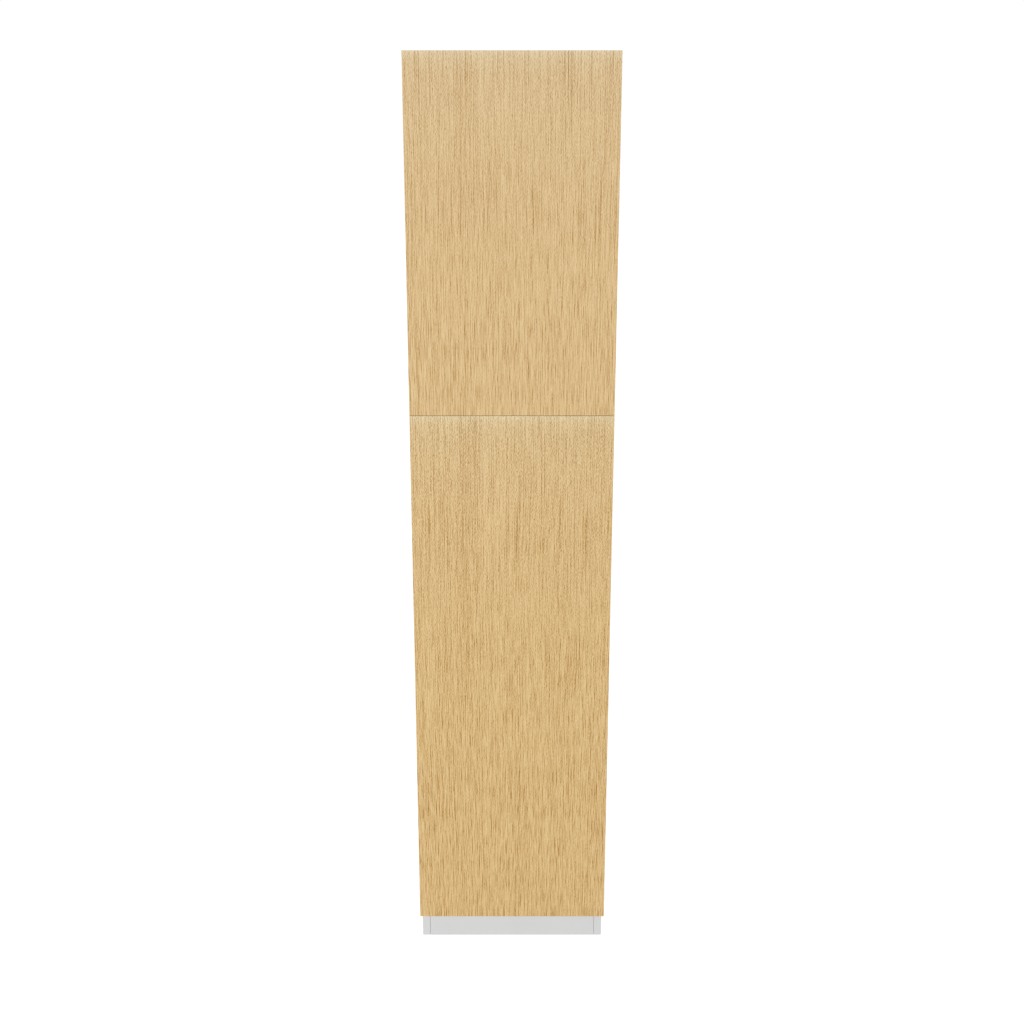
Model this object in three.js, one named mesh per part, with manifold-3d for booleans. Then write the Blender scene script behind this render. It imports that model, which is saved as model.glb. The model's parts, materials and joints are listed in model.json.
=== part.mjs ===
// Tall pantry cabinet, millimetres, +Z up, front towards -Y.
// The origin is on the floor, under the centre of the closed cabinet's box.
//
// A white panel carcass with a notched toe space stands on its two side panels. Two slab doors, one
// above the other, hang on concealed cup hinges on the left side panel. They have no handles: each
// rests against the spring plunger of a push latch on the right side panel.

import * as THREE from 'three';
import { mergeVertices } from 'three/addons/utils/BufferGeometryUtils.js';
import Module from 'manifold-3d';

const wasm = await Module();
wasm.setup();

// ---------------------------------------------------------------- driving dimensions

const CABINET = { width: 457.2, height: 2133.6, boxDepth: 609.6, board: 19.05 };
const TOE = { height: 114.3, setback: 73.4, kickEndGap: 0.6 };
const DOOR = { thickness: 19.05, reveal: 1.6, gapToBox: 2.8, splitZ: 1371.6, splitGap: 0.8 };
const BACK = { thickness: 6.35, grooveWidth: 7.0, grooveDepth: 6.5, inset: 18.725, railHeight: 101.6 };
const SHELF = { perBay: 2, frontSetback: 12, backGap: 3, sideGap: 1.5 };
const PIN_HOLE = { radius: 2.8, depth: 11, pitch: 32, perGroup: 5, frontSetback: 37, backSetback: 60 };
const FIT = 0.3; // gap left between pieces that touch
const OVERCUT = 1; // how far a cutter runs past the face that it opens
const MERGE_DISTANCE = 1e-4;
const CORNER_STEPS = 5; // facets around a quarter circle
const SIDES = { cup: 32, latch: 28, bore: 24, eye: 20, hingePin: 16, collar: 12, peg: 10, drilled: 8 };

// ---------------------------------------------------------------- derived places

const HALF_WIDTH = CABINET.width / 2;
const INNER_X = HALF_WIDTH - CABINET.board;
const TOTAL_DEPTH = CABINET.boxDepth + DOOR.gapToBox + DOOR.thickness;
const BACK_Y = TOTAL_DEPTH / 2;
const FRONT_Y = BACK_Y - CABINET.boxDepth; // front edge of the carcass
const GROOVE_Y = BACK_Y - BACK.inset - BACK.grooveWidth;
const BACK_PANEL_Y = GROOVE_Y + FIT;
const FLOOR_PANEL_TOP = TOE.height + CABINET.board;
const ROOF_PANEL_BOTTOM = CABINET.height - CABINET.board;
const FIXED_SHELF = [DOOR.splitZ - CABINET.board / 2, DOOR.splitZ + CABINET.board / 2];
const BAYS = {
  lower: [FLOOR_PANEL_TOP, FIXED_SHELF[0]],
  upper: [FIXED_SHELF[1], ROOF_PANEL_BOTTOM],
};
const DOOR_SPAN = {
  lower: [TOE.height + DOOR.reveal, DOOR.splitZ - DOOR.splitGap / 2],
  upper: [DOOR.splitZ + DOOR.splitGap / 2, CABINET.height - DOOR.reveal],
};
const HINGE_END_DISTANCE = 100; // door end to the middle of the nearest hinge
const HINGES = { lower: ['bottom', 'middle', 'top'], upper: ['bottom', 'top'] };
const LATCH_FROM_SPLIT = 110;
const LATCH_Z = { lower: DOOR.splitZ - LATCH_FROM_SPLIT, upper: DOOR.splitZ + LATCH_FROM_SPLIT };

// ---------------------------------------------------------------- materials

function finish(color, roughness, metalness) {
  return new THREE.MeshStandardMaterial({ color, roughness, metalness });
}

const OAK = finish(0xd6b682, 0.55, 0);
const MELAMINE = finish(0xd6d8d7, 0.5, 0);
const NICKEL = finish(0xb9b8b4, 0.3, 1);
const PLASTIC = finish(0xc9cac9, 0.6, 0);

// ---------------------------------------------------------------- shape helpers

// A block from the low and high limits along each axis.
function block([x0, x1], [y0, y1], [z0, z1]) {
  const geometry = new THREE.BoxGeometry(x1 - x0, y1 - y0, z1 - z0);
  return geometry.translate((x0 + x1) / 2, (y0 + y1) / 2, (z0 + z1) / 2);
}

// A round bar between two points along one axis: x, y or z.
function bar(axis, radius, from, to, { x = 0, y = 0, z = 0 } = {}, sides = SIDES.bore) {
  const geometry = new THREE.CylinderGeometry(radius, radius, Math.abs(to - from), sides);
  if (axis === 'x') geometry.rotateZ(Math.PI / 2);
  if (axis === 'z') geometry.rotateX(Math.PI / 2);
  const centre = { x, y, z, [axis]: (from + to) / 2 };
  return geometry.translate(centre.x, centre.y, centre.z);
}

// An outline in the XY plane, extruded evenly above and below z = 0.
function slab(shape, height) {
  const geometry = new THREE.ExtrudeGeometry(shape, { depth: height, bevelEnabled: false });
  return geometry.translate(0, 0, -height / 2);
}

// A plate that is thin along x or y, with its four corners rounded.
function roundedPlate(thin, x, y, z, radius) {
  const limits = { x, y, z };
  const size = (axis) => limits[axis][1] - limits[axis][0];
  const middle = (axis) => (limits[axis][0] + limits[axis][1]) / 2;
  const [u, v] = (thin === 'x' ? ['z', 'y'] : ['x', 'z']).map((axis) => size(axis) / 2 - radius);
  const outline = new THREE.Shape();
  [[u, v], [-u, v], [-u, -v], [u, -v]].forEach(([cornerU, cornerV], quarter) => {
    outline.absarc(cornerU, cornerV, radius, quarter * Math.PI / 2, (quarter + 1) * Math.PI / 2);
  });
  const geometry = new THREE.ExtrudeGeometry(
    outline, { depth: size(thin), bevelEnabled: false, curveSegments: CORNER_STEPS });
  geometry.translate(0, 0, -size(thin) / 2);
  if (thin === 'x') geometry.rotateY(Math.PI / 2);
  else geometry.rotateX(Math.PI / 2);
  return geometry.translate(middle('x'), middle('y'), middle('z'));
}

// The outline of a strip of even thickness along a line of points.
function strip(points, thickness) {
  const left = [];
  const right = [];
  points.forEach((point, i) => {
    const before = points[Math.max(i - 1, 0)];
    const after = points[Math.min(i + 1, points.length - 1)];
    const along = after.clone().sub(before).normalize();
    const side = new THREE.Vector2(-along.y, along.x).multiplyScalar(thickness / 2);
    left.push(point.clone().add(side));
    right.unshift(point.clone().sub(side));
  });
  return new THREE.Shape([...left, ...right]);
}

function toSolid(geometry) {
  const bare = geometry.clone();
  bare.deleteAttribute('normal');
  bare.deleteAttribute('uv');
  const merged = mergeVertices(bare, MERGE_DISTANCE);
  const vertProperties = new Float32Array(merged.attributes.position.array);
  const triVerts = new Uint32Array(merged.index.array);
  return new wasm.Manifold(new wasm.Mesh({ numProp: 3, vertProperties, triVerts }));
}

function toGeometry(solid) {
  const { vertProperties, triVerts } = solid.getMesh();
  const geometry = new THREE.BufferGeometry();
  geometry.setAttribute('position', new THREE.BufferAttribute(vertProperties, 3));
  geometry.setIndex(new THREE.BufferAttribute(triVerts, 1));
  geometry.computeVertexNormals();
  return geometry;
}

// One body from pieces that are joined, then others that are cut away.
function carve(joined, cut = []) {
  let solid = toSolid(joined[0]);
  for (const piece of joined.slice(1)) solid = solid.add(toSolid(piece));
  for (const piece of cut) solid = solid.subtract(toSolid(piece));
  return toGeometry(solid);
}

const cabinet = new THREE.Group();

function place(name, geometry, material, parent = cabinet, position = [0, 0, 0]) {
  const mesh = new THREE.Mesh(geometry, material);
  mesh.name = name;
  mesh.position.set(...position);
  parent.add(mesh);
  return mesh;
}

// ---------------------------------------------------------------- shelves and the pins under them

const PIN = {
  peg: 2.3, pegLength: 9, collar: 3.5, collarEnd: 1.2,
  spoonStart: 0.7, spoonEnd: 11, spoonHalf: 3.4, spoonLow: 0.6,
};
const PIN_ROWS = {
  front: FRONT_Y + PIN_HOLE.frontSetback,
  back: BACK_PANEL_Y - PIN_HOLE.backSetback,
};

// Undersides of the shelves that share a bay evenly.
function shelfHeights([low, high]) {
  const clear = (high - low - SHELF.perBay * CABINET.board) / (SHELF.perBay + 1);
  return Array.from({ length: SHELF.perBay }, (_, i) => low + clear * (i + 1) + CABINET.board * i);
}

const pinHeight = (shelfBottom) => shelfBottom - FIT - PIN.collar;

// A spoon pin, its peg along -X: peg, collar and the flat tab that the shelf lies on.
function shelfPin() {
  const { peg, pegLength, collar, collarEnd, spoonStart, spoonEnd, spoonHalf, spoonLow } = PIN;
  return carve([
    bar('x', peg, -pegLength, collarEnd, {}, SIDES.peg),
    bar('x', collar, FIT, collarEnd, {}, SIDES.collar),
    block([spoonStart, spoonEnd], [-spoonHalf, spoonHalf], [spoonLow, collar]),
  ]);
}

function addShelves(bay) {
  const halfWidth = INNER_X - SHELF.sideGap;
  const depth = [FRONT_Y + SHELF.frontSetback, BACK_PANEL_Y - SHELF.backGap];
  shelfHeights(BAYS[bay]).forEach((bottom, i) => {
    const name = `${bay}_shelf_${i + 1}`;
    const board = block([-halfWidth, halfWidth], depth, [0, CABINET.board]);
    place(name, board, MELAMINE, cabinet, [0, 0, bottom]);
    for (const [row, y] of Object.entries(PIN_ROWS)) {
      for (const [side, sign] of [['left', -1], ['right', 1]]) {
        const pin = place(`${name}_pin_${row}_${side}`, shelfPin(), NICKEL);
        pin.position.set(sign * INNER_X, y, pinHeight(bottom));
        pin.rotation.z = sign < 0 ? 0 : Math.PI;
      }
    }
  });
}

// ---------------------------------------------------------------- carcass

// Heights of the drilled shelf-pin holes: a short row centred on each shelf's pins.
function pinHoleHeights() {
  const middle = (PIN_HOLE.perGroup - 1) / 2;
  const shelves = [...shelfHeights(BAYS.lower), ...shelfHeights(BAYS.upper)];
  return shelves.flatMap((bottom) =>
    Array.from({ length: PIN_HOLE.perGroup }, (_, i) => pinHeight(bottom) + (i - middle) * PIN_HOLE.pitch));
}

// Built with its inner face at x = 0 and the board towards -X; sign turns it into the right-hand one.
function sidePanel(sign) {
  const across = (near, far) => (sign < 0 ? [-far, -near] : [near, far]);
  const notch = block(
    across(-OVERCUT, CABINET.board + OVERCUT), [FRONT_Y - OVERCUT, FRONT_Y + TOE.setback],
    [-OVERCUT, TOE.height]);
  const groove = block(
    across(-OVERCUT, BACK.grooveDepth), [GROOVE_Y, GROOVE_Y + BACK.grooveWidth],
    [FLOOR_PANEL_TOP - BACK.grooveDepth, ROOF_PANEL_BOTTOM + BACK.grooveDepth]);
  const drillX = across(-OVERCUT, PIN_HOLE.depth);
  const holes = Object.values(PIN_ROWS).flatMap((y) =>
    pinHoleHeights().map((z) => bar('x', PIN_HOLE.radius, ...drillX, { y, z }, SIDES.drilled)));
  const board = block(across(0, CABINET.board), [FRONT_Y, BACK_Y], [0, CABINET.height]);
  return carve([board], [notch, groove, ...holes]);
}

function addCarcass() {
  place('side_panel_left', sidePanel(-1), MELAMINE, cabinet, [-INNER_X, 0, 0]);
  place('side_panel_right', sidePanel(1), MELAMINE, cabinet, [INNER_X, 0, 0]);

  const between = [-INNER_X + FIT, INNER_X - FIT];
  const fullDepth = [FRONT_Y, BACK_Y];
  const groove = (z) => block([-INNER_X, INNER_X], [GROOVE_Y, GROOVE_Y + BACK.grooveWidth], z);
  const floorPanel = carve(
    [block(between, fullDepth, [TOE.height, FLOOR_PANEL_TOP])],
    [groove([FLOOR_PANEL_TOP - BACK.grooveDepth, FLOOR_PANEL_TOP + OVERCUT])]);
  place('bottom_panel', floorPanel, MELAMINE);
  const roofPanel = carve(
    [block(between, fullDepth, [ROOF_PANEL_BOTTOM, CABINET.height])],
    [groove([ROOF_PANEL_BOTTOM - OVERCUT, ROOF_PANEL_BOTTOM + BACK.grooveDepth])]);
  place('top_panel', roofPanel, MELAMINE);
  place('fixed_shelf', block(between, [FRONT_Y, BACK_PANEL_Y - FIT], FIXED_SHELF), MELAMINE);

  const backHalf = INNER_X + BACK.grooveDepth - FIT;
  const backZ = [
    FLOOR_PANEL_TOP - BACK.grooveDepth + FIT, ROOF_PANEL_BOTTOM + BACK.grooveDepth - FIT];
  const backY = [BACK_PANEL_Y, BACK_PANEL_Y + BACK.thickness];
  place('back_panel', block([-backHalf, backHalf], backY, backZ), MELAMINE);

  const railY = [backY[1] + FIT, BACK_Y];
  const topRailZ = [ROOF_PANEL_BOTTOM - FIT - BACK.railHeight, ROOF_PANEL_BOTTOM - FIT];
  const bottomRailZ = [FLOOR_PANEL_TOP + FIT, FLOOR_PANEL_TOP + FIT + BACK.railHeight];
  place('hanging_rail_top', block(between, railY, topRailZ), MELAMINE);
  place('hanging_rail_bottom', block(between, railY, bottomRailZ), MELAMINE);

  const kickFace = FRONT_Y + TOE.setback;
  const kickHalf = INNER_X - TOE.kickEndGap;
  place('toe_kick', block(
    [-kickHalf, kickHalf], [kickFace, kickFace + CABINET.board], [0, TOE.height - FIT]), MELAMINE);
}

// ---------------------------------------------------------------- concealed hinges
//
// Each hinge is built about the left side panel's outer front corner: x runs inwards from the outer
// face, y backwards from the carcass front, z from the hinge's middle. The pin stands in the cup,
// far enough forward and outward that the door's edge clears the panel as it turns.

const PIVOT = new THREE.Vector2(9.1, -14.5);
const CUP_EDGE_DISTANCE = 20.5; // door's edge to the cup's middle
const CUP_SINK = 0.2; // the cup's rim below the door's back face
const CUP = {
  centreX: DOOR.reveal + CUP_EDGE_DISTANCE, outer: 17.5, inner: 16.7, rimY: -DOOR.gapToBox - CUP_SINK,
  cavityFloorY: -17.2, floorY: -17.9, overlap: 0.3,
  ear: { x: [24, 41], halfHeight: 31, y: [-2.5, -1.6], corner: 5 },
  bearing: { x: [6.5, 11.7], z: [4.9, 7.5], rimY: -11.9 },
};
const HINGE_PIN = { radius: 1.2, bore: 1.45, halfLength: 7.3 };
const ARM = {
  thickness: 2, neckHeight: 9, eye: 2.4, neckX: 23.5, neckY: -15.2, neckEndY: 2,
  bend: 2, bendSteps: 4, joinY: [7, 14],
  topX: [25.4, 27.4], height: 16, corner: 4, flange: 1.4, flangeX: 21.9, y: [8, 62],
};
const PLATE = {
  base: { x: [CABINET.board + FIT, 21.5], y: [26, 50], halfHeight: 25, corner: 5 },
  boss: { x: [21, 25], y: [14, 60], halfHeight: 6.2 },
};

function pinBore() {
  const { bore, halfLength } = HINGE_PIN;
  const end = halfLength + OVERCUT;
  return bar('z', bore, -end, end, { x: PIVOT.x, y: PIVOT.y }, SIDES.hingePin);
}

// The steel cup let into the door's back, with two screw ears and the two bearings of the pin.
function hingeCup() {
  const { centreX, outer, inner, rimY, cavityFloorY, floorY, overlap, ear, bearing } = CUP;
  const centre = { x: centreX };
  const cup = toSolid(bar('y', outer, floorY, rimY, centre, SIDES.cup));
  const collar = toSolid(bar('y', outer, rimY - overlap, ear.y[1], centre, SIDES.cup))
    .intersect(toSolid(block([centreX, centreX + outer], [floorY, 0], [-outer, outer])));
  const ears = toSolid(roundedPlate('y', ear.x, ear.y, [-ear.halfHeight, ear.halfHeight], ear.corner));
  const cavity = toSolid(bar('y', inner, cavityFloorY, 0, centre, SIDES.cup));
  let solid = cup.add(collar).add(ears).subtract(cavity);
  for (const z of [[-bearing.z[1], -bearing.z[0]], bearing.z]) {
    solid = solid.add(toSolid(block(bearing.x, [cavityFloorY - overlap, bearing.rimY], z)));
  }
  return toGeometry(solid.subtract(toSolid(pinBore())));
}

// The arm: an eye round the pin, a bent neck out of the cup, and a channel over the mounting plate.
function hingeArm() {
  const { thickness, neckHeight, eye, neckX, neckY, neckEndY, bend, bendSteps, joinY } = ARM;
  const { topX, height, corner: radius, flange, flangeX, y } = ARM;
  const corner = new THREE.QuadraticBezierCurve(
    new THREE.Vector2(neckX - bend, neckY),
    new THREE.Vector2(neckX, neckY),
    new THREE.Vector2(neckX, neckY + bend));
  const topMiddle = (topX[0] + topX[1]) / 2;
  const line = [
    PIVOT, ...corner.getPoints(bendSteps), new THREE.Vector2(neckX, neckEndY),
    ...joinY.map((at) => new THREE.Vector2(topMiddle, at))];
  const half = height / 2;
  const flanges = [[-half, -half + flange], [half - flange, half]].map(
    (z) => block([flangeX, topX[1]], [y[0] + radius, y[1] - radius], z));
  return carve(
    [
      roundedPlate('x', topX, y, [-half, half], radius),
      ...flanges,
      slab(strip(line, thickness), neckHeight),
      bar('z', eye, -neckHeight / 2, neckHeight / 2, { x: PIVOT.x, y: PIVOT.y }, SIDES.eye),
    ],
    [pinBore()]);
}

// The mounting plate screwed to the side panel: a winged base and the boss that the arm slides over.
function hingePlate() {
  const { base, boss } = PLATE;
  return carve([
    roundedPlate('x', base.x, base.y, [-base.halfHeight, base.halfHeight], base.corner),
    block(boss.x, boss.y, [-boss.halfHeight, boss.halfHeight]),
    block(base.x, boss.y, [-boss.halfHeight, boss.halfHeight]),
  ]);
}

function hingePin() {
  const { radius, halfLength } = HINGE_PIN;
  return bar('z', radius, -halfLength, halfLength, { x: PIVOT.x, y: PIVOT.y }, SIDES.hingePin);
}

// Heights of a door's hinges, spread evenly between the two that sit near its ends.
function hingeHeights(door) {
  const [low, high] = DOOR_SPAN[door];
  const first = low + HINGE_END_DISTANCE;
  const step = (high - low - 2 * HINGE_END_DISTANCE) / (HINGES[door].length - 1);
  return HINGES[door].map((_, i) => first + step * i);
}

function addHinges(door) {
  hingeHeights(door).forEach((z, i) => {
    const hinge = new THREE.Group();
    hinge.position.set(-HALF_WIDTH, FRONT_Y, z);
    cabinet.add(hinge);
    const name = `${door}_hinge_${HINGES[door][i]}`;
    place(`${name}_plate`, hingePlate(), NICKEL, hinge);
    place(`${name}_arm`, hingeArm(), NICKEL, hinge);
    place(`${name}_cup`, hingeCup(), NICKEL, hinge);
    place(`${name}_pin`, hingePin(), NICKEL, hinge);
  });
}

// ---------------------------------------------------------------- doors

// A slab door with a round pocket in its back for each hinge cup.
function addDoor(door) {
  const [low, high] = DOOR_SPAN[door];
  const half = HALF_WIDTH - DOOR.reveal;
  const backFace = FRONT_Y - DOOR.gapToBox;
  const leaf = block([-half, half], [backFace - DOOR.thickness, backFace], [low, high]);
  const pockets = hingeHeights(door).map((z) => bar(
    'y', CUP.outer + FIT, FRONT_Y + CUP.floorY - FIT, backFace + OVERCUT,
    { x: CUP.centreX - HALF_WIDTH, z }, SIDES.cup));
  place(`${door}_door`, carve([leaf], pockets), OAK);
}

// ---------------------------------------------------------------- push latches
//
// Built about the right side panel's inner front corner: x runs inwards (negative), y backwards.

const LATCH = {
  axisX: -9.5, barrel: 6.5, bore: 4.4, barrelY: [5.5, 78], boreEndY: 52,
  collar: { radius: 7.6, y: [5.5, 7.6] },
  foot: { x: [-3.6, -FIT], y: [8, 76], halfHeight: 9 },
  wing: { x: [-2.3, -FIT], y: [35, 49], halfHeight: 18, corner: 5 },
  plunger: 4.0, plungerY: [-0.9, 46], head: 5.4, headY: [-1.4, 1.8],
  strike: 8, strikeThickness: 0.8,
};

function latchHousing() {
  const { axisX, barrel, bore, barrelY, boreEndY, collar, foot, wing } = LATCH;
  return carve(
    [
      bar('y', barrel, ...barrelY, { x: axisX }, SIDES.latch),
      bar('y', collar.radius, ...collar.y, { x: axisX }, SIDES.latch),
      block(foot.x, foot.y, [-foot.halfHeight, foot.halfHeight]),
      roundedPlate('x', wing.x, wing.y, [-wing.halfHeight, wing.halfHeight], wing.corner),
    ],
    [bar('y', bore, barrelY[0] - OVERCUT, boreEndY, { x: axisX })]);
}

function latchPlunger() {
  const { axisX, plunger, plungerY, head, headY } = LATCH;
  return carve([
    bar('y', plunger, ...plungerY, { x: axisX }),
    bar('y', head, ...headY, { x: axisX }, SIDES.latch),
  ]);
}

function addLatch(door) {
  const latch = new THREE.Group();
  latch.position.set(INNER_X, FRONT_Y, LATCH_Z[door]);
  cabinet.add(latch);
  const { axisX, strike, strikeThickness } = LATCH;
  const doorBack = -DOOR.gapToBox + FIT;
  place(`${door}_latch_housing`, latchHousing(), PLASTIC, latch);
  place(`${door}_latch_plunger`, latchPlunger(), PLASTIC, latch);
  const plate = bar('y', strike, doorBack, doorBack + strikeThickness, { x: axisX }, SIDES.latch);
  place(`${door}_latch_strike`, plate, NICKEL, latch);
}

// ---------------------------------------------------------------- assembly

addCarcass();
for (const door of ['lower', 'upper']) {
  addShelves(door);
  addDoor(door);
  addHinges(door);
  addLatch(door);
}

export default cabinet;
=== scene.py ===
"""Looks of the tall pantry cabinet: oak doors, white board carcass, nickelled hinges and plastic latches.

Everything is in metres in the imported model's frame: +Z up, the doors face -Y, the origin is on the floor.
The CAD nodes stay as they are and get procedural materials, rounded edges and smooth shading. Screws,
cam caps, edge bands and door buffers are added on the bodies that carry them.
"""

import json
import math
from typing import NamedTuple

import bmesh
import bpy
from mathutils import Matrix, Vector

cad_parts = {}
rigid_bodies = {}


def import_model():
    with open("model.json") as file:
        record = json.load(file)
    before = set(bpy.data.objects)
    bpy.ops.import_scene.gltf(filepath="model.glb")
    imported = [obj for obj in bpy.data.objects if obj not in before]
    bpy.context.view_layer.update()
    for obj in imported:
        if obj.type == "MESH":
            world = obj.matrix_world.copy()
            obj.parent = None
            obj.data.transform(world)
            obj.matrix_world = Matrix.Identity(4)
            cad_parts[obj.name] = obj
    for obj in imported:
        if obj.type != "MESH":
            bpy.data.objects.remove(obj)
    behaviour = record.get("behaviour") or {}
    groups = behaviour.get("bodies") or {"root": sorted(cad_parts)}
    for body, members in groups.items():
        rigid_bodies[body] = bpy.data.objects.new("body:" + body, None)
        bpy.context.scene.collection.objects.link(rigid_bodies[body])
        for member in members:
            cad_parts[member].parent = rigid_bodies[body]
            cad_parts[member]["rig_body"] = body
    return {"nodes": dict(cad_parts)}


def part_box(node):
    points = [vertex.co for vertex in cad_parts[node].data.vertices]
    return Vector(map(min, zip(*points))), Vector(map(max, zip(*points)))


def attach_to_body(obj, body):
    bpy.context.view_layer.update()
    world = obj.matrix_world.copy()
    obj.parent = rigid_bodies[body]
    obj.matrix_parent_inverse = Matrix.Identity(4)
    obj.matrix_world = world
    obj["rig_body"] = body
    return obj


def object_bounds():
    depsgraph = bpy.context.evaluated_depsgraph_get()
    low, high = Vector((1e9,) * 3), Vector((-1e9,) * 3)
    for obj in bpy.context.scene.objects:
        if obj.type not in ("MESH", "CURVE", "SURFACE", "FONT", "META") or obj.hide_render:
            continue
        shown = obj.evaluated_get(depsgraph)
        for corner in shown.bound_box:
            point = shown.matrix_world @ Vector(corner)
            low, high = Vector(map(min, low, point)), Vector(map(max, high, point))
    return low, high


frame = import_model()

CAD_LOW, CAD_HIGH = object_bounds()
NODES = frame["nodes"]
DOORS = ("lower", "upper")
SIDE_PANELS = ("side_panel_left", "side_panel_right")
LEVEL_PANELS = ("top_panel", "bottom_panel", "fixed_shelf")


def is_loose_shelf(node):
    return "_shelf_" in node and "_pin_" not in node


# ---------------------------------------------------------------- camera

VIEW_ANGLE = math.radians(45)
VIEW_ELEVATION = math.radians(15)
VIEW_MARGIN = 1.05  # camera distance, as a share of the least that holds the cabinet's bounding sphere
SENSOR_WIDTH = 36  # millimetres, as the lens's focal length is


def make_camera():
    centre = (CAD_LOW + CAD_HIGH) / 2
    radius = (CAD_HIGH - CAD_LOW).length / 2
    distance = VIEW_MARGIN * radius / math.sin(VIEW_ANGLE / 2)
    back = Vector((0, -math.cos(VIEW_ELEVATION), math.sin(VIEW_ELEVATION)))
    data = bpy.data.cameras.new("camera")
    data.sensor_width = SENSOR_WIDTH
    data.lens = SENSOR_WIDTH / 2 / math.tan(VIEW_ANGLE / 2)
    camera = bpy.data.objects.new("camera", data)
    camera.location = centre + back * distance
    camera.rotation_euler = (-back).to_track_quat("-Z", "Y").to_euler()
    bpy.context.collection.objects.link(camera)
    bpy.context.scene.camera = camera


# ---------------------------------------------------------------- node graphs


class Graph:
    """A material's node tree. Each method adds one node and returns the output that is wanted."""

    def __init__(self, name):
        self.material = bpy.data.materials.new(name)
        self.material.use_nodes = True
        self.tree = self.material.node_tree
        self.shader = self.tree.nodes["Principled BSDF"]
        self.coordinates = self.node("ShaderNodeTexCoord").outputs
        self.object_place = self.coordinates["Object"]

    def node(self, kind, inputs=None, **settings):
        node = self.tree.nodes.new(kind)
        for key, value in settings.items():
            setattr(node, key, value)
        for key, value in (inputs or {}).items():
            self.join(value, node.inputs[key])
        return node

    def join(self, value, socket):
        if isinstance(value, bpy.types.NodeSocket):
            self.tree.links.new(value, socket)
        else:
            socket.default_value = value

    def math(self, operation, a, b=0.0):
        return self.node("ShaderNodeMath", {0: a, 1: b}, operation=operation).outputs[0]

    def add(self, *terms):
        total = terms[0]
        for term in terms[1:]:
            total = self.math("ADD", total, term)
        return total

    def product(self, *factors):
        total = factors[0]
        for factor in factors[1:]:
            total = self.math("MULTIPLY", total, factor)
        return total

    def fade(self, distance, reach):
        """1 at distance 0, falling off exponentially by 1/e for every reach."""
        return self.math("EXPONENT", self.math("DIVIDE", distance, -reach))

    def stretched(self, vector, scale, shift=(0, 0, 0)):
        node = self.node("ShaderNodeMapping", {"Vector": vector, "Location": shift, "Scale": scale})
        return node.outputs[0]

    def noise(self, vector, detail=2.0, roughness=0.5):
        inputs = {"Vector": vector, "Scale": 1.0, "Detail": detail, "Roughness": roughness}
        return self.node("ShaderNodeTexNoise", inputs).outputs[0]

    def even_noise(self, fineness, **settings):
        """Noise with so many cells to the metre along all three axes."""
        return self.noise(self.stretched(self.object_place, (fineness,) * 3), **settings)

    def span(self, value, low, high, to_low=0.0, to_high=1.0, smooth=False):
        kind = "SMOOTHSTEP" if smooth else "LINEAR"
        inputs = {"Value": value, "From Min": low, "From Max": high, "To Min": to_low, "To Max": to_high}
        return self.node("ShaderNodeMapRange", inputs, interpolation_type=kind).outputs[0]

    def mix(self, factor, a, b, blend="MIX"):
        node = self.node("ShaderNodeMix", data_type="RGBA", blend_type=blend)
        self.join(factor, node.inputs[0])
        self.join(a, node.inputs[6])
        self.join(b, node.inputs[7])
        return node.outputs[2]

    def pick(self, factor, a, b):
        """a where factor is 0, b where it is 1, for vectors."""
        node = self.node("ShaderNodeMix", data_type="VECTOR")
        self.join(factor, node.inputs[0])
        self.join(a, node.inputs[4])
        self.join(b, node.inputs[5])
        return node.outputs[1]

    def parts(self, vector):
        return self.node("ShaderNodeSeparateXYZ", {0: vector}).outputs

    def vector(self, x, y, z):
        return self.node("ShaderNodeCombineXYZ", {0: x, 1: y, 2: z}).outputs[0]

    def facing(self, axis):
        """How far the surface looks along an axis, 0 for X to 2 for Z: from -1 to 1."""
        return self.parts(self.coordinates["Normal"])[axis]

    def bump(self, height, distance, strength):
        inputs = {"Height": height, "Distance": distance, "Strength": strength}
        return self.node("ShaderNodeBump", inputs).outputs[0]

    def set(self, **inputs):
        """Sets the shader's inputs by name, with _ for a space."""
        for key, value in inputs.items():
            self.join(value, self.shader.inputs[key.replace("_", " ")])
        return self.material


def tone(red, green, blue):
    """A linear colour from sRGB values of 0 to 255."""
    def linear(value):
        value /= 255
        return value / 12.92 if value <= 0.04045 else ((value + 0.055) / 1.055) ** 2.4
    return (linear(red), linear(green), linear(blue), 1.0)


# ---------------------------------------------------------------- oak veneer

# Each door's veneer is warmest at its foot and, as a painted sheen, paler and cooler towards its head,
# with a thin painted highlight at its very top. These are its mean colours, the head's with the painted
# sheen in them, which the grain goes paler and darker than.
OAK_TONES_WITH_SHEEN = {
    "upper_door": {"foot": (213.5, 180.7, 126.7), "head": (214.5, 186.7, 141.5)},
    "lower_door": {"foot": (213.5, 179.6, 121), "head": (215.5, 186.5, 137)},
}
OAK_CONTRAST = {"upper_door": 0.84, "lower_door": 1.13}
OAK_STEP = (23.5, 30.5, 37)  # one step of shade, in sRGB values
DARKEST, PALEST = -2.0, 1.2  # the shades that the grain stays between
OAK_SKEW = 0.50  # how much further the dark grain goes than the pale
OAK_SHIFT = {"head": -0.045, "foot": 0.045}  # shade that evens out what the skew takes from the mean
OAK_GAIN = 0.965  # evens out the brightness of the studio light
FOOT_FROM = 0.8  # the foot's look is reached this far down a door, as a share of its height
# Painted sheen: metres over which the head's paler, cooler colour fades into the foot's.
HEAD_SHEEN_FADE = 0.30  # metres over which the head's cooler tone fades
# A painted highlight: a thin pale band along each door's very top.
TOP_HIGHLIGHT = {"share": 0.20, "fade": 0.016, "colour": (0.95, 0.96, 0.74, 1.0)}
GLUE_LINE = {"inset": 0.0011, "half_width": 0.00012, "share": 0.5, "tone": (120, 88, 48)}

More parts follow.
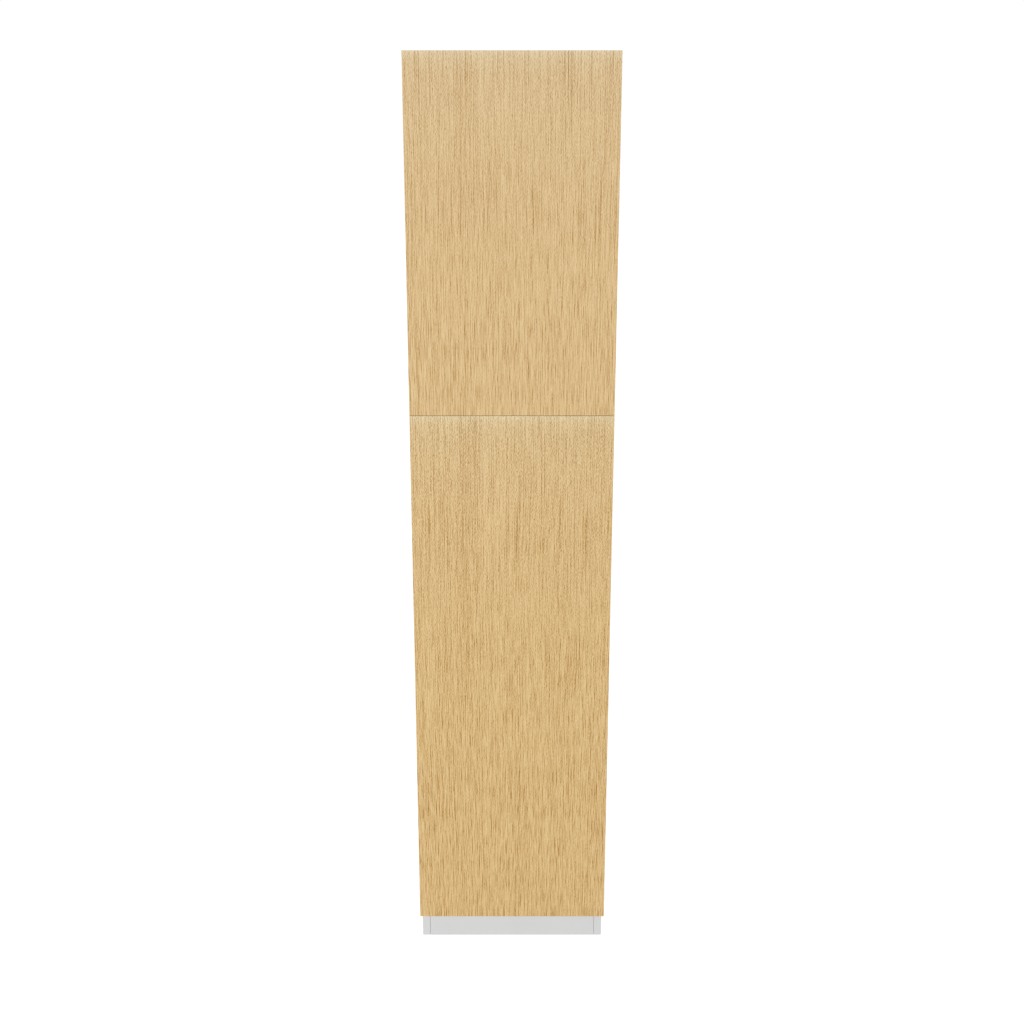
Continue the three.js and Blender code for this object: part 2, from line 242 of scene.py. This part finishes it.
# Faint upright bands in the veneer, strongest at a door's head: place as a share of the door's
# width from its middle, half width as such a share, and how much lighter or darker.
OAK_BANDS = ((-0.22, 0.055, -0.17), (-0.14, 0.020, 0.18), (-0.05, 0.035, 0.10))
BANDS_FADE = {"from": 0.1, "to": 0.7}  # as shares of a door's height from its head

# The grain lines wander sideways by up to half of reach.
SWAY = {"across": 6, "along": 1.6, "reach": 0.012}

# The arch figure is nested parabolas about the door's middle line. Its strength falls from the middle
# to the sides, which it reaches where the square of the distance from the middle is squared_width.
ARCH = {
    "narrowness": 1500, "per_metre": 30, "unevenness": 7,
    "middle": 0.05, "sides": 0.005, "squared_width": 0.012}

PALE_LINE = {"beside": 0.0022, "share": 0.28}  # metres from the dark line, and its strength


class Layer(NamedTuple):
    """Noise drawn out along the grain."""

    across: float  # cells to the metre
    along: float
    head: float  # strength at a door's head
    foot: float
    detail: float = 1.0
    roughness: float = 0.5
    crisp: bool = False  # with a paler line beside each dark one


FLECK = Layer(880, 190, 4.4, 2.4, crisp=True)
PORE = Layer(820, 21, 2.6, 7.2, detail=2.0, roughness=0.6, crisp=True)
STREAK = Layer(800, 8, 2.1, 2.8, crisp=True)
FIBRE = Layer(2600, 110, 1.2, 1.2)
GROWTH = Layer(60, 1.6, 0.25, 0.25, detail=2.0)
VESSEL = Layer(640, 3.2, -1.1, -0.5, detail=0.0)
VESSEL_SPAN = (0.62, 0.76)  # only this much of its noise shows, as a few long dark lines


def layer_noise(g, grain, layer, shift):
    """A layer's noise, about 0.5."""
    scale = (layer.across, layer.across, layer.along)
    line = g.noise(g.stretched(grain, scale, shift), layer.detail, layer.roughness)
    if not layer.crisp:
        return line
    moved = (shift[0] + layer.across * PALE_LINE["beside"], shift[1], shift[2])
    beside = g.noise(g.stretched(grain, scale, moved), layer.detail, layer.roughness)
    return g.math("SUBTRACT", line, g.product(g.math("SUBTRACT", beside, 0.5), PALE_LINE["share"]))


def oak_shade(g, down, width, contrast, shift):
    """The grain's shade in steps: above 0 is paler than the mean, below 0 is darker.

    down is how far down the door a point lies, as a share of its height.
    """
    def by_height(head, foot):
        return g.span(down, 0.0, FOOT_FROM, head, foot)

    # On the top and bottom edges the grain runs along the edge.
    x, y, z = g.parts(g.object_place)
    end_face = g.math("GREATER_THAN", g.math("ABSOLUTE", g.facing(2)), 0.7)
    place = g.pick(end_face, g.object_place, g.vector(z, y, x))
    x, y, z = g.parts(place)
    sway = g.noise(g.stretched(place, (SWAY["across"], SWAY["across"], SWAY["along"]), shift), detail=1.0)
    x = g.add(x, g.product(g.math("SUBTRACT", sway, 0.5), SWAY["reach"]))
    grain = g.vector(x, y, z)

    growth = layer_noise(g, grain, GROWTH, shift)
    square = g.product(x, x)
    rings = g.add(
        g.product(square, ARCH["narrowness"]), g.product(z, ARCH["per_metre"]),
        g.product(growth, ARCH["unevenness"]))
    strength = g.span(square, 0.0, ARCH["squared_width"], ARCH["middle"], ARCH["sides"], smooth=True)
    terms = [g.product(g.math("SINE", rings), strength)]

    vessel = g.span(layer_noise(g, grain, VESSEL, shift), *VESSEL_SPAN)
    terms.append(g.product(vessel, by_height(VESSEL.head, VESSEL.foot)))
    for layer in (FLECK, PORE, STREAK, FIBRE, GROWTH):
        value = growth if layer is GROWTH else layer_noise(g, grain, layer, shift)
        terms.append(g.product(g.math("SUBTRACT", value, 0.5), by_height(layer.head, layer.foot)))
    across = g.math("DIVIDE", x, width)
    for centre, half_width, amount in OAK_BANDS:
        offset = g.math("DIVIDE", g.math("SUBTRACT", across, centre), half_width)
        fading = g.span(down, BANDS_FADE["from"], BANDS_FADE["to"], amount, 0.0, smooth=True)
        terms.append(g.product(g.fade(g.product(offset, offset), 1.0), fading))

    # Pale wood varies less than dark pores do.
    shade = g.add(g.product(g.add(*terms), contrast), by_height(OAK_SHIFT["head"], OAK_SHIFT["foot"]))
    shade = g.math("SUBTRACT", shade, g.product(shade, shade, OAK_SKEW))
    return g.math("MAXIMUM", g.math("MINIMUM", shade, PALEST), DARKEST)


def oak_colour(g, shade, below_top, sheened_tones):
    """The colour of a shade, with a painted sheen that makes it paler and cooler towards the door's head,
    and a painted highlight at its very top.
    """
    def stepped(mean, steps):
        return tone(*(value + steps * step for value, step in zip(mean, OAK_STEP)))

    # Painted sheen: how much of the head's paler, cooler colour is mixed in.
    head = g.fade(below_top, HEAD_SHEEN_FADE)
    base, deep, pale = (
        g.mix(head, stepped(sheened_tones["foot"], steps), stepped(sheened_tones["head"], steps))
        for steps in (0.0, DARKEST, PALEST))
    colour = g.mix(g.span(shade, 0.0, DARKEST), base, deep)
    colour = g.mix(g.span(shade, 0.0, PALEST), colour, pale)
    # Painted highlight along the door's very top.
    top_highlight = g.product(g.fade(below_top, TOP_HIGHLIGHT["fade"]), TOP_HIGHLIGHT["share"])
    colour = g.mix(top_highlight, colour, TOP_HIGHLIGHT["colour"])
    return g.mix(1.0, colour, (OAK_GAIN, OAK_GAIN, OAK_GAIN, 1), blend="MULTIPLY")


def with_glue_lines(g, colour, low, high):
    """Thin dark lines on the door's edges, where its face veneers are glued on."""
    on_edge = g.math("LESS_THAN", g.math("ABSOLUTE", g.facing(1)), 0.5)
    y = g.parts(g.object_place)[1]
    inset = g.math("MINIMUM", g.math("SUBTRACT", y, low.y), g.math("SUBTRACT", high.y, y))
    away = g.math("ABSOLUTE", g.math("SUBTRACT", inset, GLUE_LINE["inset"]))
    line = g.span(away, 0.0, GLUE_LINE["half_width"], GLUE_LINE["share"], 0.0)
    return g.mix(g.product(line, on_edge), colour, tone(*GLUE_LINE["tone"]))


def oak_material(door, low, high, shift):
    """Lacquered light oak veneer, its grain upright. low and high are the door's corners."""
    g = Graph(f"oak_{door}")
    below_top = g.math("SUBTRACT", high.z, g.parts(g.object_place)[2])
    down = g.math("DIVIDE", below_top, high.z - low.z)
    shade = oak_shade(g, down, high.x - low.x, OAK_CONTRAST[door], shift)
    colour = oak_colour(g, shade, below_top, OAK_TONES_WITH_SHEEN[door])
    return g.set(
        Base_Color=with_glue_lines(g, colour, low, high),
        Roughness=g.span(shade, -1.0, 0.5, 0.62, 0.48),
        Normal=g.bump(shade, 0.00005, 0.5),
        Specular_IOR_Level=0.3)


# ---------------------------------------------------------------- the other materials

# Noise is given in cells to the metre.
PEARL = {"board": 900, "band": 2200}
CHIPS = {"chip": 420, "flake": 520, "rough": 0.85, "relief": 4.0}  # relief is in the pearl's heights


def chipboard(g):
    """The colour of bare chipboard, and its relief."""
    chip = g.even_noise(CHIPS["chip"], detail=3.0, roughness=0.7)
    flakes = g.node("ShaderNodeTexVoronoi", {"Vector": g.object_place, "Scale": CHIPS["flake"]})
    flake = g.parts(flakes.outputs["Color"])[0]
    colour = g.mix(g.span(chip, 0.3, 0.7), tone(156, 132, 98), tone(206, 185, 150))
    return g.mix(g.span(flake, 0.0, 1.0, 0.0, 0.45), colour, tone(182, 153, 112)), chip


def board_material(name, fineness, thin_axis=None):
    """White melamine: a fine pearl texture, faint mottling and a few specks.

    With thin_axis, the axis through the board's thickness, the chipboard core is bare on every edge but
    the front one.
    """
    g = Graph(name)
    pearl = g.even_noise(fineness)
    mottle = g.even_noise(7, detail=3.0)
    speck = g.even_noise(2400, detail=0.0)
    colour = g.mix(g.span(mottle, 0.3, 0.7), tone(209, 211, 211), tone(206, 208, 208))
    colour = g.mix(g.span(speck, 0.72, 0.8, 0.0, 0.35), colour, tone(188, 189, 188))
    rough = g.span(pearl, 0.3, 0.7, 0.38, 0.5)
    height = pearl
    if thin_axis is not None:
        edge = g.math("LESS_THAN", g.math("ABSOLUTE", g.facing(thin_axis)), 0.5)
        bare = g.product(edge, g.math("GREATER_THAN", g.facing(1), -0.5))
        core, relief = chipboard(g)
        colour = g.mix(bare, colour, core)
        rough = g.math("MAXIMUM", rough, g.product(bare, CHIPS["rough"]))
        height = g.add(pearl, g.product(relief, bare, CHIPS["relief"]))
    return g.set(
        Base_Color=colour,
        Roughness=rough,
        Normal=g.bump(height, 0.00006, 0.5),
        Specular_IOR_Level=0.45)


def nickel_material():
    """Nickel-plated pressed steel: fine brushing, small stains and scuffs."""
    g = Graph("nickelled_steel")
    brush = g.noise(g.stretched(g.object_place, (300, 300, 5200)), detail=3.0, roughness=0.7)
    stain = g.even_noise(90, detail=3.0)
    colour = g.mix(g.span(stain, 0.35, 0.7), tone(226, 224, 219), tone(208, 206, 200))
    rough = g.add(g.span(brush, 0.3, 0.7, 0.2, 0.32), g.span(stain, 0.5, 0.8, 0.0, 0.1))
    return g.set(Base_Color=colour, Metallic=1.0, Roughness=rough, Normal=g.bump(brush, 0.00003, 0.4))


def plastic_material(name, light, dark):
    """Moulded matt plastic or rubber with a fine spark-eroded texture."""
    g = Graph(name)
    grain = g.even_noise(1600)
    return g.set(
        Base_Color=g.mix(g.span(g.even_noise(60), 0.3, 0.7), light, dark),
        Roughness=g.span(grain, 0.3, 0.7, 0.42, 0.6),
        Normal=g.bump(grain, 0.00004, 0.6))


# ---------------------------------------------------------------- finish on the CAD nodes

SMOOTH_BELOW = math.radians(35)
ROUND_ABOVE = math.radians(50)
ROUNDING = {"door": 0.0005, "board": 0.0006, "latch": 0.0004, "metal": 0.00025}
WELD_REACH = 1e-6


def smooth_group():
    """Geometry nodes that shade smoothly, but not over edges sharper than SMOOTH_BELOW."""
    tree = bpy.data.node_groups.new("smooth_by_angle", "GeometryNodeTree")
    tree.interface.new_socket("Geometry", in_out="INPUT", socket_type="NodeSocketGeometry")
    tree.interface.new_socket("Geometry", in_out="OUTPUT", socket_type="NodeSocketGeometry")
    source = tree.nodes.new("NodeGroupInput")
    target = tree.nodes.new("NodeGroupOutput")
    faces = tree.nodes.new("GeometryNodeSetShadeSmooth")
    edges = tree.nodes.new("GeometryNodeSetShadeSmooth")
    edges.domain = "EDGE"
    angle = tree.nodes.new("GeometryNodeInputMeshEdgeAngle")
    flat = tree.nodes.new("FunctionNodeCompare")
    flat.operation = "LESS_THAN"
    flat.inputs[1].default_value = SMOOTH_BELOW
    tree.links.new(source.outputs[0], faces.inputs["Geometry"])
    tree.links.new(faces.outputs[0], edges.inputs["Geometry"])
    tree.links.new(angle.outputs["Unsigned Angle"], flat.inputs[0])
    tree.links.new(flat.outputs[0], edges.inputs["Shade Smooth"])
    tree.links.new(edges.outputs[0], target.inputs[0])
    return tree


def shade_smoothly(piece):
    piece.modifiers.new("smooth_by_angle", "NODES").node_group = SMOOTH


def dress(node, material, rounding, smooth=False):
    """Gives a CAD node its material and, as modifiers, rounded edges and smooth shading."""
    piece = NODES[node]
    piece.data.materials.clear()
    piece.data.materials.append(material)
    piece.modifiers.new("weld", "WELD").merge_threshold = WELD_REACH
    rounded = piece.modifiers.new("rounded_edges", "BEVEL")
    rounded.width = rounding
    rounded.segments = 2
    rounded.limit_method = "ANGLE"
    rounded.angle_limit = ROUND_ABOVE
    if smooth:
        shade_smoothly(piece)


def dress_nodes(oak, boards, nickel, plastic):
    for name in NODES:
        if name.endswith("_door"):
            dress(name, oak[name], ROUNDING["door"])
        elif "hinge" in name or "_pin_" in name or name.endswith("_strike"):
            dress(name, nickel, ROUNDING["metal"], smooth=True)
        elif "latch" in name:
            dress(name, plastic, ROUNDING["latch"], smooth=True)
        elif name in SIDE_PANELS:
            dress(name, boards["upright"], ROUNDING["board"])
        elif name in LEVEL_PANELS or is_loose_shelf(name):
            dress(name, boards["level"], ROUNDING["board"])
        else:
            dress(name, boards["plain"], ROUNDING["board"])


# ---------------------------------------------------------------- turned pieces

FACETS = 24  # points around every ring, so that a round ring and a cross can be bridged

# Profiles from the outer foot to the crown, as shares of the radius and of the height.
PAN_HEAD = ((1.0, 0.0), (1.0, 0.36), (0.95, 0.66), (0.80, 0.90), (0.62, 1.0))
FLAT_CAP = ((1.0, 0.0), (1.0, 0.5), (0.97, 0.85), (0.92, 1.0), (0.6, 1.0))
DOME = ((1.0, 0.0), (1.0, 0.25), (0.95, 0.52), (0.80, 0.78), (0.55, 0.94), (0.25, 1.0))


class Turned(NamedTuple):
    """A turned piece: its profile and size, and its cross recess if it has one."""

    profile: tuple
    radius: float
    height: float
    reach: float = 0.0  # of the cross, from the middle to an arm's end
    half_width: float = 0.0
    depth: float = 0.0


SCREW = Turned(PAN_HEAD, 0.0034, 0.0013, 0.0019, 0.00042, 0.0009)
SET_SCREW = Turned(PAN_HEAD, 0.0029, 0.0009, 0.0017, 0.00038, 0.0007)
BUFFER = Turned(DOME, 0.0045, 0.0021)
CAM_CAP = Turned(FLAT_CAP, 0.0085, 0.0008, 0.0034, 0.0007, 0.0004)
TAPER = {"reach": 0.65, "half_width": 0.8}  # of a cross recess's floor, as shares of its mouth


def circle(radius, height):
    angles = [2 * math.pi * i / FACETS for i in range(FACETS)]
    return [(radius * math.cos(a), radius * math.sin(a), height) for a in angles]


def cross(reach, half_width, height):
    """The outline of a plus sign with FACETS points, the first on +X."""
    middle = (reach + half_width) / 2
    quarter = [
        (reach, 0), (reach, half_width), (middle, half_width),
        (half_width, half_width), (half_width, middle), (half_width, reach)]
    points = []
    for _ in range(4):
        points += [(x, y, height) for x, y in quarter]
        quarter = [(-y, x) for x, y in quarter]
    return points


def bridged_mesh(name, outlines, material):
    """A closed body whose sides join each outline to the next, and whose ends are the first and last."""
    shape = bmesh.new()
    rings = [[shape.verts.new(point) for point in outline] for outline in outlines]
    count = len(outlines[0])
    for lower, upper in zip(rings, rings[1:]):
        for i in range(count):
            j = (i + 1) % count
            shape.faces.new((lower[i], lower[j], upper[j], upper[i]))
    shape.faces.new(list(reversed(rings[0])))
    shape.faces.new(rings[-1])
    bmesh.ops.recalc_face_normals(shape, faces=shape.faces)
    mesh = bpy.data.meshes.new(name)
    shape.to_mesh(mesh)
    shape.free()
    mesh.materials.append(material)
    return mesh


def turned_mesh(name, size, material):
    """Rings about Z up to the crown, with a tapered cross recess in it if the piece has one."""
    outlines = [circle(size.radius * r, size.height * h) for r, h in size.profile]
    if size.reach:
        floor = size.height - size.depth
        outlines.append(cross(size.reach, size.half_width, size.height))
        outlines.append(cross(size.reach * TAPER["reach"], size.half_width * TAPER["half_width"], floor))
    return bridged_mesh(name, outlines, material)


def add_piece(name, mesh, body, placing=Matrix()):
    piece = bpy.data.objects.new(name, mesh)
    bpy.context.collection.objects.link(piece)
    piece.matrix_world = placing
    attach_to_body(piece, body)
    return piece


def attach(name, mesh, body, place, outwards, turn=0):
    """Stands a mesh on a surface: its Z points outwards and it is turned about that by so many degrees."""
    stand = Vector(outwards).to_track_quat("Z", "Y").to_matrix().to_4x4()
    spin = Matrix.Rotation(math.radians(turn), 4, "Z")
    piece = add_piece(name, mesh, body, Matrix.Translation(place) @ stand @ spin)
    shade_smoothly(piece)


# Where screws sit on the nodes that they hold, in metres from the middle or in from a side.
CUP_SCREWS = {"half_apart": 0.0245, "from_side": 0.009}
PLATE_SCREWS = {"half_apart": 0.017, "from_side": 0.00215, "behind_middle": 0.001}
ARM_SCREWS_FROM_BACK = (0.009, 0.037)
LATCH_SCREWS = {"half_apart": 0.0132, "from_side": 0.002, "from_front": 0.0365}
TURN_BETWEEN_SCREWS = 37  # degrees, so that no two crosses in a row stand alike

BUFFER_PLACE = {"from_side": 0.0085, "from_end": 0.035}
CAP_PLACE = {"from_side": 0.034, "from_front": 0.06, "from_back": 0.08, "turn": 22}


def screw_spots(node, low, high):
    """Where a hinge part or a latch is screwed down, and which way the screws' heads look."""
    middle = (low + high) / 2

    def pair(x, y, half_apart):
        return [(x, y, middle.z + z) for z in (-half_apart, half_apart)]

    if node.endswith("_cup"):
        return pair(high.x - CUP_SCREWS["from_side"], high.y, CUP_SCREWS["half_apart"]), (0, 1, 0)
    if node.endswith("_plate"):
        y = middle.y + PLATE_SCREWS["behind_middle"]
        return pair(low.x + PLATE_SCREWS["from_side"], y, PLATE_SCREWS["half_apart"]), (1, 0, 0)
    if node.endswith("_arm"):
        return [(high.x, high.y - y, middle.z) for y in ARM_SCREWS_FROM_BACK], (1, 0, 0)
    if node.endswith("_housing"):
        y = low.y + LATCH_SCREWS["from_front"]
        return pair(high.x - LATCH_SCREWS["from_side"], y, LATCH_SCREWS["half_apart"]), (-1, 0, 0)
    return [], None


def add_screws(nickel):
    """Screws in the cups' ears, the mounting plates and the latches, and set screws along the arms."""
    head = turned_mesh("screw_head", SCREW, nickel)
    small = turned_mesh("set_screw", SET_SCREW, nickel)
    turn = 0
    for node in sorted(NODES):
        mesh = small if node.endswith("_arm") else head
        places, outwards = screw_spots(node, *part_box(node))
        body = NODES[node]["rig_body"]
        for i, place in enumerate(places):
            turn += TURN_BETWEEN_SCREWS
            attach(f"{node}_screw_{i + 1}", mesh, body, place, outwards, turn)


def add_buffers(door, rubber):
    """Soft buffers at the free corners of a door's back."""
    dome = turned_mesh("buffer", BUFFER, rubber)
    low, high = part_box(f"{door}_door")
    x = high.x - BUFFER_PLACE["from_side"]
    inset = BUFFER_PLACE["from_end"]
    for end, z in (("bottom", low.z + inset), ("top", high.z - inset)):
        attach(f"{door}_buffer_{end}", dome, f"{door}_leaf", (x, high.y, z), (0, 1, 0))


def add_cam_caps(board, plastic):
    """Press-in caps over the joining cams, on a panel's underside."""
    cap = turned_mesh("cam_cap", CAM_CAP, plastic)
    low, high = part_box(board)
    columns = (("left", low.x + CAP_PLACE["from_side"]), ("right", high.x - CAP_PLACE["from_side"]))
    rows = (("front", low.y + CAP_PLACE["from_front"]), ("back", high.y - CAP_PLACE["from_back"]))
    for side, x in columns:
        for row, y in rows:
            name = f"{board}_cam_cap_{row}_{side}"
            attach(name, cap, "carcass", (x, y, low.z), (0, 0, -1), CAP_PLACE["turn"])


# ---------------------------------------------------------------- edge bands

BAND = {"thickness": 0.0003, "glue": 0.00003, "ease": 0.00015}


def add_edge_band(board, bottom, material):
    """The band glued along a board's front edge, from the height bottom up, its long edges eased."""
    low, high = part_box(board)
    front = low.y - BAND["thickness"]
    back = low.y - BAND["glue"]
    ease = BAND["ease"]
    section = [
        (low.x, back), (low.x, front + ease), (low.x + ease, front),
        (high.x - ease, front), (high.x, front + ease), (high.x, back)]
    outlines = [[(x, y, z) for x, y in section] for z in (max(low.z, bottom), high.z)]
    name = f"{board}_edge_band"
    add_piece(name, bridged_mesh(name, outlines, material), "carcass")


# ---------------------------------------------------------------- floor and light

FLOOR_HALF_SIZE = 60.0
FLOOR_GLOW = 0.5
SKY = {"horizon": 1.02, "top": 0.55, "bright_below": 0.2, "dim_above": 0.7}  # heights are sines of elevation
KEY_LIGHT = {"size": 3.0, "watts": 30, "place": (-2.6, -4.4, 2.0), "aim": (0, 0, 1.0)}


def make_floor():
    mesh = bpy.data.meshes.new("floor")
    s = FLOOR_HALF_SIZE
    mesh.from_pydata([(-s, -s, 0), (s, -s, 0), (s, s, 0), (-s, s, 0)], [], [(0, 1, 2, 3)])
    floor = bpy.data.objects.new("floor", mesh)
    bpy.context.collection.objects.link(floor)
    g = Graph("pale_floor")
    g.set(
        Base_Color=g.mix(g.even_noise(0.5), tone(243, 243, 243), tone(247, 247, 247)),
        Roughness=0.9, Specular_IOR_Level=0.1,
        Emission_Color=(1, 1, 1, 1), Emission_Strength=FLOOR_GLOW)
    mesh.materials.append(g.material)


def make_sky():
    """A white studio, dimmer overhead."""
    world = bpy.data.worlds.new("studio")
    world.use_nodes = True
    nodes, links = world.node_tree.nodes, world.node_tree.links
    direction = nodes.new("ShaderNodeTexCoord").outputs["Generated"]
    height = nodes.new("ShaderNodeSeparateXYZ")
    links.new(direction, height.inputs[0])
    fade = nodes.new("ShaderNodeMapRange")
    fade.interpolation_type = "SMOOTHSTEP"
    links.new(height.outputs["Z"], fade.inputs["Value"])
    fade.inputs["From Min"].default_value = SKY["bright_below"]
    fade.inputs["From Max"].default_value = SKY["dim_above"]
    fade.inputs["To Min"].default_value = SKY["horizon"]
    fade.inputs["To Max"].default_value = SKY["top"]
    background = nodes["Background"]
    background.inputs["Color"].default_value = (1, 1, 1, 1)
    links.new(fade.outputs[0], background.inputs["Strength"])
    bpy.context.scene.world = world
    bpy.context.scene.view_settings.view_transform = "Standard"


def make_key_light():
    """One large soft lamp at the front left."""
    data = bpy.data.lights.new("key", "AREA")
    data.size = KEY_LIGHT["size"]
    data.energy = KEY_LIGHT["watts"]
    place = Vector(KEY_LIGHT["place"])
    lamp = bpy.data.objects.new("key", data)
    lamp.location = place
    lamp.rotation_euler = (Vector(KEY_LIGHT["aim"]) - place).to_track_quat("-Z", "Y").to_euler()
    bpy.context.collection.objects.link(lamp)


# ---------------------------------------------------------------- the scene

SMOOTH = smooth_group()
make_camera()
make_floor()
make_sky()
make_key_light()

# The shift takes each door's grain from another place in the noise.
oak = {
    f"{door}_door": oak_material(f"{door}_door", *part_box(f"{door}_door"), (3.1 * i, 0, 0.7 * i))
    for i, door in enumerate(DOORS)
}
boards = {
    "plain": board_material("white_melamine", PEARL["board"]),
    "upright": board_material("upright_melamine", PEARL["board"], thin_axis=0),
    "level": board_material("level_melamine", PEARL["board"], thin_axis=2),
}
nickel = nickel_material()
plastic = plastic_material("latch_plastic", tone(205, 206, 205), tone(196, 197, 197))
dress_nodes(oak, boards, nickel, plastic)

add_screws(nickel)
for door in DOORS:
    add_buffers(door, plastic_material(f"{door}_buffer_rubber", tone(188, 190, 190), tone(176, 178, 179)))
for panel in ("top_panel", "fixed_shelf"):
    add_cam_caps(panel, plastic)
band_material = board_material("edge_band", PEARL["band"])
notch_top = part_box("bottom_panel")[0].z
for name in sorted(NODES):
    if name in SIDE_PANELS + LEVEL_PANELS or is_loose_shelf(name):
        add_edge_band(name, notch_top, band_material)
